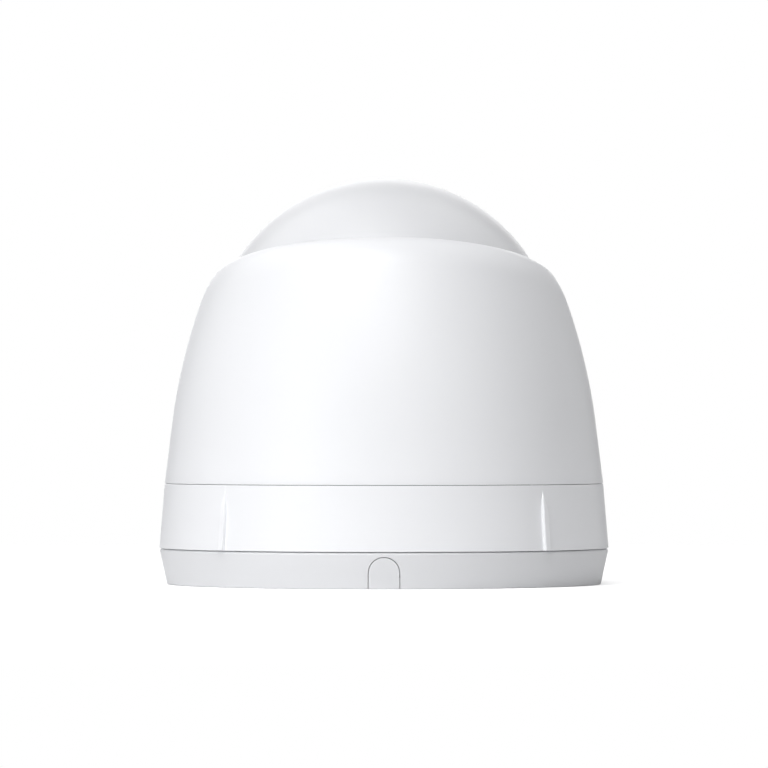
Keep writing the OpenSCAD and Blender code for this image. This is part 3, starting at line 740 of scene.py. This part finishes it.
def build_band():
    columns = []
    for angle in band_angles():
        out = ray(math.radians(angle), 0)
        columns.append([out * r + Vector((0, 0, z)) for r, z in band_outline(angle)])
    obj = columns_to_object("base_band", columns, UPRIGHT)
    post_top = DECK_Z[0] + 0.3
    posts = screw_posts(COVER_POSTS, post_top) + screw_posts(BOARD_POSTS, post_top)
    boolean(obj, "UNION", *posts)
    dress(obj, MATERIALS["shell_plastic"], "base", "shell_plastic", "base_shell")


# ---------------------------------------------------------------- mounting plate

NOTCH_W = 7.0
NOTCH_H = 7.0
TAB_GAP = 0.15
FLOOR = 2.5
PLATE_BORE = 46.6
CABLE_HOLE = 14.0
SCREW_ANGLES = [90, 210, 330]
SCREW_AT_R = 36.0
SCREW_HOLE = 2.3
SCREW_SINK = 4.3
HOOK_ANGLES = [-90, 30, 150]
# The ledges that the hooks slide under: inner radius, bottom, top, and half their span
LEDGE = (42.6, 5.6, 7.3, 16)
STOP_R = 42.9
STOP_TOP = 5.9
STOP_SPAN = (-14.6, -10.6)
SEAL_SIDE = 0.3
GROOVE_W = 2.3
# How far out along Y the notch, its tab and the tab's flange lie
NOTCH_Y = (44.6, 52)
TAB_Y = (46.0, 52)
TAB_FLANGE_Y = (44.7, 46.1)
TAB_FLANGE_EDGE = 1.2


def notch_outline(inset, bottom=-1.0):
    half = NOTCH_W / 2 - inset
    arc = [math.radians(180 * k / 32) for k in range(33)]
    return [(-half, bottom), (half, bottom)] + [
        (half * math.cos(a), NOTCH_H - NOTCH_W / 2 + half * math.sin(a)) for a in arc
    ]


def notch_prism(name, inset, near_y, far_y):
    """The notch's outline drawn along Y."""
    stand = Matrix.Scale(MM, 4) @ Matrix.Rotation(math.radians(90), 4, "X")
    return prism(name, notch_outline(inset), -far_y, -near_y, stand)


RING_FOOT = (ring_r(0), 0, 0.35)
RING_CREST = (ring_r(RING_TOP), RING_TOP, 0.5)


def build_plate():
    plate = lathe("plate_body", fillet([
        (CABLE_HOLE, 0, 0.3), RING_FOOT, RING_CREST, (PLATE_BORE, RING_TOP, 0.3),
        (PLATE_BORE, FLOOR, 0.4), (CABLE_HOLE, FLOOR, 0.3),
    ]), segments=256)
    seal_r, seal_top = high("wall_seal").x + SEAL_SIDE, high("wall_seal").z
    groove_in, groove_out = seal_r - GROOVE_W, seal_r + 0.02
    cutters = [
        notch_prism("cut_notch", 0, *NOTCH_Y),
        lathe("cut_groove", [
            (groove_in, -1), (groove_out, -1), (groove_out, seal_top), (groove_in, seal_top),
        ], segments=256),
    ]
    for angle in SCREW_ANGLES:
        cutters.append(lathe(f"cut_screw_{angle}", [
            (0, -1), (SCREW_HOLE, -1), (SCREW_HOLE, FLOOR - (SCREW_SINK - SCREW_HOLE)),
            (SCREW_SINK, FLOOR), (SCREW_SINK, FLOOR + 1), (0, FLOOR + 1),
        ], spot_on_circle(SCREW_AT_R, angle) @ UPRIGHT, 48))
    boolean(plate, "DIFFERENCE", *cutters)
    inner, under, top, half_span = LEDGE
    # The ledges and stops reach a little into the ring's wall, and the stops into the floor
    ledge_r, stop_r, stop_foot = PLATE_BORE + 0.3, PLATE_BORE + 0.15, FLOOR - 0.3
    ledges = []
    for angle in HOOK_ANGLES:
        ledges.append(lathe(f"ledge_{angle + 90}", fillet([
            (inner, under, 0.3), (ledge_r, under), (ledge_r, top), (inner, top, 0.3),
        ]), sector=(angle - half_span, angle + half_span)))
        ledges.append(lathe(f"stop_{angle + 90}", [
            (STOP_R, stop_foot), (stop_r, stop_foot), (stop_r, STOP_TOP), (STOP_R, STOP_TOP),
        ], sector=(angle + STOP_SPAN[0], angle + STOP_SPAN[1])))
    boolean(plate, "UNION", *ledges)
    bevel(plate, 0.1, 2, 40)
    dress(plate, MATERIALS["ring_plastic"], "mount", "ring_plastic", "mounting_plate")


def build_tab():
    """The knock-out tab: flush with the ring outside, with a flange behind the notch's edge."""
    tab = notch_prism("exit_tab", TAB_GAP, *TAB_Y)
    ring = fillet([(CABLE_HOLE, 0), RING_FOOT, RING_CREST, (CABLE_HOLE, RING_TOP)])
    boolean(tab, "INTERSECT", lathe("cut_ring", ring, segments=256))
    flange = notch_prism("tab_flange", -TAB_FLANGE_EDGE, *TAB_FLANGE_Y)
    trim = prism("cut_floor", [(-9, 40), (9, 40), (9, 52), (-9, 52)], -3, FLOOR + 0.3)
    boolean(flange, "DIFFERENCE", trim)
    boolean(tab, "UNION", flange)
    bevel(tab, 0.1, 2, 40)
    dress(tab, MATERIALS["ring_plastic"], "mount", "ring_plastic", "cable_exit_tab")


# ---------------------------------------------------------------- front of the camera head

WINDOW_R = 19.4
WINDOW_H = (30.7, 32.3)
WINDOW_LEDGE_R = 17.5
WINDOW_SEAT_H = 30.2
HEAD_R = MOUTH_R - 0.3
BEZEL_TOP = 32.7
CARRIER_TOP = 24.0
LED_TOP = 25.2
LED_RING_R = 12.4
LED_COUNT = 4
LED_HALF = 1.75
LED_BODY_H = 0.8
LED_CHIP_HALF = 0.5
LED_CHIP_TOP = 0.95
LED_DOME_R = 1.6
LED_DOME_FOOT = 1.0
LENS_HEAD_R = 7.4
LENS_TOP = 28.0
LENS_TAIL_R = 6
LENS_TAIL_H = 10
LENS_NECK_H = 22
LENS_BORE_R = 3.3
GLARE_STEPS = 4
GLARE_STEP_H = 0.75
ELEMENT_DOME_R = 9.0
ELEMENT_BACK_H = LENS_TOP - 3.35
PLEATS = 6
PLEAT_ROWS = 24
PLEAT_DEPTH = 0.09
SLEEVE_FLARE = 0.8
SLEEVE_WALL = 1


def build_bezel():
    obj = lathe("bezel_ring", fillet([
        (WINDOW_LEDGE_R, CARRIER_TOP), (HEAD_R, CARRIER_TOP), (HEAD_R, BEZEL_TOP - 0.7, 0.5),
        (WINDOW_R + 0.6, BEZEL_TOP, 0.35), (WINDOW_R + 0.12, BEZEL_TOP - 0.45, 0.2),
        (WINDOW_R + 0.12, WINDOW_SEAT_H), (WINDOW_LEDGE_R, WINDOW_SEAT_H),
    ], steps=6), AT_LENS, 256)
    dress(obj, MATERIALS["ball_plastic"], "head", "ball_plastic", "front_bezel")


def build_window():
    obj = lathe("window_pane", fillet([
        (0, WINDOW_H[0]), (WINDOW_R, WINDOW_H[0], 0.15), (WINDOW_R, WINDOW_H[1], 0.35),
        (0, WINDOW_H[1]),
    ], steps=6), AT_LENS, 256)
    let_light_through(obj)
    dress(obj, MATERIALS["window_black"], "head", "window_black", "front_window")


def build_lens():
    """The barrel with its anti-glare steps, and the domed front element."""
    cup = LENS_HEAD_R - 2
    steps = []
    for k in range(GLARE_STEPS):
        h = LENS_TOP - 0.3 - k * GLARE_STEP_H
        r = cup + 0.45 - k * 0.12
        steps += [(r, h, 0.05), (r, h - 0.6, 0.05)]
    outside = [
        (LENS_BORE_R, LENS_TAIL_H), (LENS_TAIL_R - 0.4, LENS_TAIL_H, 0.3),
        (LENS_TAIL_R, LENS_TAIL_H + 0.5, 0.1), (LENS_TAIL_R, LENS_NECK_H),
        (LENS_HEAD_R, LENS_NECK_H, 0.2), (LENS_HEAD_R, LENS_TOP, 0.35), (cup + 0.7, LENS_TOP, 0.1),
    ]
    seat = [(LENS_BORE_R, LENS_TOP - 3.4)]
    barrel = lathe("lens_body", fillet(outside + steps + seat, steps=3), AT_LENS, 128)
    dress(barrel, MATERIALS["part_black"], "head", "part_black", "lens_barrel")
    rim, top = LENS_HEAD_R - 2.15, LENS_TOP - 0.5
    reach = math.asin(rim / ELEMENT_DOME_R)
    outline = [(0, ELEMENT_BACK_H), (rim, ELEMENT_BACK_H)]
    for k in range(12, -1, -1):
        a = reach * k / 12
        outline.append((ELEMENT_DOME_R * math.sin(a), top - ELEMENT_DOME_R * (1 - math.cos(a))))
    element = lathe("front_element", outline, AT_LENS, 128)
    let_light_through(element)
    dress(element, MATERIALS["clear_glass"], "head", "clear_glass", "lens_front_element")


def build_shade():
    """A pleated rubber sleeve round the lens."""
    foot, top = LENS_HEAD_R + 0.4, WINDOW_H[0]
    pleats = []
    for k in range(PLEAT_ROWS + 1):
        t = k / PLEAT_ROWS
        ripple = PLEAT_DEPTH * math.sin(TAU * PLEATS * t)
        pleats.append((foot + SLEEVE_FLARE * t + ripple, LED_TOP + (top - LED_TOP) * t))
    outer = [(r + SLEEVE_WALL, h) for r, h in reversed(pleats)]
    obj = lathe("lens_sleeve", pleats + outer, AT_LENS, 128)
    dress(obj, MATERIALS["seal_rubber"], "head", "seal_rubber", "lens_shade")


def build_lamps():
    """The infrared lamps: a square body with a chip on it, under a clear dome."""
    bodies, chips, domes = [], [], []
    arc = [math.radians(a) for a in range(0, 90, 6)]
    dome = [(0, LED_DOME_FOOT), (LED_DOME_R, LED_DOME_FOOT)]
    dome += [(LED_DOME_R * math.cos(a), LED_DOME_R + LED_DOME_R * math.sin(a)) for a in arc]
    dome.append((0, 2 * LED_DOME_R))
    for i in range(LED_COUNT):
        turn = Matrix.Rotation((i + 0.5) * TAU / LED_COUNT, 4, "Z")
        spot = AT_LENS @ turn @ Matrix.Translation((LED_RING_R, 0, LED_TOP))
        body = prism(f"lamp_body_{i}", square(LED_HALF), 0, LED_BODY_H, spot)
        bevel(body, 0.15)
        bodies.append(body)
        chip = prism(f"lamp_chip_{i}", square(LED_CHIP_HALF), LED_BODY_H, LED_CHIP_TOP, spot)
        bevel(chip, 0.04)
        chips.append(chip)
        domes.append(lathe(f"lamp_dome_{i}", dome, spot, 64))
    for name, parts, look in (
        ("lamp_bodies", bodies, "lamp_base"), ("lamp_chips", chips, "part_black"),
        ("lamp_domes", domes, "lamp_clear"),
    ):
        obj = join(name, parts)
        dress(obj, MATERIALS[look], "head", "lamp_clear", "infrared_leds")
        if look == "lamp_clear":
            let_light_through(obj)


def join(name, parts):
    """One mesh object from several."""
    bm = bmesh.new()
    for part in parts:
        bm.from_mesh(part.data)
    mesh = bpy.data.meshes.new(name)
    bm.to_mesh(mesh)
    bm.free()
    for part in parts:
        bpy.data.objects.remove(part)
    obj = bpy.data.objects.new(name, mesh)
    bpy.context.scene.collection.objects.link(obj)
    tidy_normals(obj)
    return obj


# ---------------------------------------------------------------- carried-over CAD nodes


def dress_cad_nodes(skip):
    """Every CAD node that stays gets the material of its slot in the record."""
    slots = {part["node"]: part["material_slot"] for part in frame["record"]["subparts"]}
    for name, obj in frame["nodes"].items():
        if name in skip:
            continue
        obj.data.materials.clear()
        obj.data.materials.append(MATERIALS[slots[name]])


# ---------------------------------------------------------------- floor, camera, light

FLOOR_SIZE = 1.0
FLOOR_Z = -0.00002
# Open under the object and clear from below, so that the underside can be seen
FLOOR_HOLE = 0.0478
# The paper fades into the white background between these distances from the middle
FADE = (0.12, 0.5)
PAPER_LIFT = 0.4
CAMERA_DISTANCE = 1.53
CAMERA_HEIGHT = 0.0384
AIM_HEIGHT = 0.0445
LENS_LENGTH = 322
# Each lamp: azimuth and elevation in degrees, and power; azimuth 90 is the camera's side.
# The one below lights only the underside, through the floor's opening.
LAMPS = {
    "key": (60, 60, 8.4), "side": (45, 12, 4.5), "front": (90, 45, 5.2), "right": (225, 12, 1.2),
    "right_high": (225, 45, 1.55), "left_high": (315, 45, 2.25), "lens_side": (270, 12, 4),
    "under": (90, -85, 3),
}
LAMP_DISTANCE = 1.3
LAMP_SIZE = 0.9
WORLD_LIGHT = 0.12


def build_stage():
    steps = 96
    verts = [(radius * math.cos(TAU * k / steps), radius * math.sin(TAU * k / steps), FLOOR_Z)
             for radius in (FLOOR_HOLE, FLOOR_SIZE) for k in range(steps)]
    faces = [(k, steps + k, steps + (k + 1) % steps, (k + 1) % steps) for k in range(steps)]
    mesh = bpy.data.meshes.new("floor")
    mesh.from_pydata(verts, [], faces)
    floor = bpy.data.objects.new("floor", mesh)
    bpy.context.scene.collection.objects.link(floor)
    material, tree, shader, add = new_material("floor_paper")
    tree.links.new(
        mottle(add, (0.9, 0.9, 0.9), (0.92, 0.92, 0.92), noise(add, 3, 2)),
        shader.inputs["Base Color"],
    )
    place = add("ShaderNodeTexCoord").outputs["Object"]
    distance = add("ShaderNodeVectorMath", {0: place}, operation="LENGTH").outputs["Value"]
    fade = add(
        "ShaderNodeMapRange",
        {"Value": distance, "From Min": FADE[0], "From Max": FADE[1], "To Min": 1.0, "To Max": 0.0},
        interpolation_type="SMOOTHSTEP",
    )
    below = add("ShaderNodeNewGeometry").outputs["Backfacing"]
    shown = add("ShaderNodeMix", {"Factor": below, "A": fade.outputs["Result"], "B": 0.0})
    tree.links.new(shown.outputs["Result"], shader.inputs["Alpha"])
    shader.inputs["Emission Color"].default_value = (1, 1, 1, 1)
    seen = add("ShaderNodeLightPath").outputs["Is Camera Ray"]
    lift = remap(add, seen, 0.0, PAPER_LIFT, 0, 1)
    tree.links.new(lift, shader.inputs["Emission Strength"])
    shader.inputs["Roughness"].default_value = 0.9
    shader.inputs["Specular IOR Level"].default_value = 0.1
    floor.data.materials.append(material)


def build_camera():
    data = bpy.data.cameras.new("camera")
    data.lens = LENS_LENGTH
    data.sensor_width = 36
    data.clip_start = 0.05
    camera = bpy.data.objects.new("camera", data)
    bpy.context.scene.collection.objects.link(camera)
    camera.location = (0, CAMERA_DISTANCE, CAMERA_HEIGHT)
    aim = Vector((0, 0, AIM_HEIGHT))
    camera.rotation_euler = (aim - camera.location).to_track_quat("-Z", "Y").to_euler()
    bpy.context.scene.camera = camera


def build_light():
    scene = bpy.context.scene
    scene.view_settings.view_transform = "Standard"
    world = bpy.data.worlds.new("studio")
    world.use_nodes = True
    tree = world.node_tree
    background = tree.nodes["Background"]
    background.inputs["Color"].default_value = (1, 1, 1, 1)
    seen = tree.nodes.new("ShaderNodeLightPath").outputs["Is Camera Ray"]
    level = tree.nodes.new("ShaderNodeMapRange")
    level.inputs["To Min"].default_value = WORLD_LIGHT
    level.inputs["To Max"].default_value = 1.0
    tree.links.new(seen, level.inputs["Value"])
    tree.links.new(level.outputs["Result"], background.inputs["Strength"])
    scene.world = world
    middle = Vector((0, 0, BALL_AT.z))
    for name, (azimuth, elevation, power) in LAMPS.items():
        direction = ray(math.radians(azimuth), math.radians(elevation))
        data = bpy.data.lights.new(name, "AREA")
        data.shape = "DISK"
        data.size = LAMP_SIZE
        data.energy = power
        lamp = bpy.data.objects.new(name, data)
        lamp.location = middle + direction * LAMP_DISTANCE
        lamp.rotation_euler = (-direction).to_track_quat("-Z", "Y").to_euler()
        lamp.visible_camera = False
        scene.collection.objects.link(lamp)


# ---------------------------------------------------------------- build

build_housing()
build_ball()
build_band()
build_plate()
build_tab()
build_bezel()
build_window()
build_lens()
build_shade()
build_lamps()
dress_cad_nodes({"housing_shell", "ball_shell", "base_shell"})
build_stage()
build_camera()
build_light()
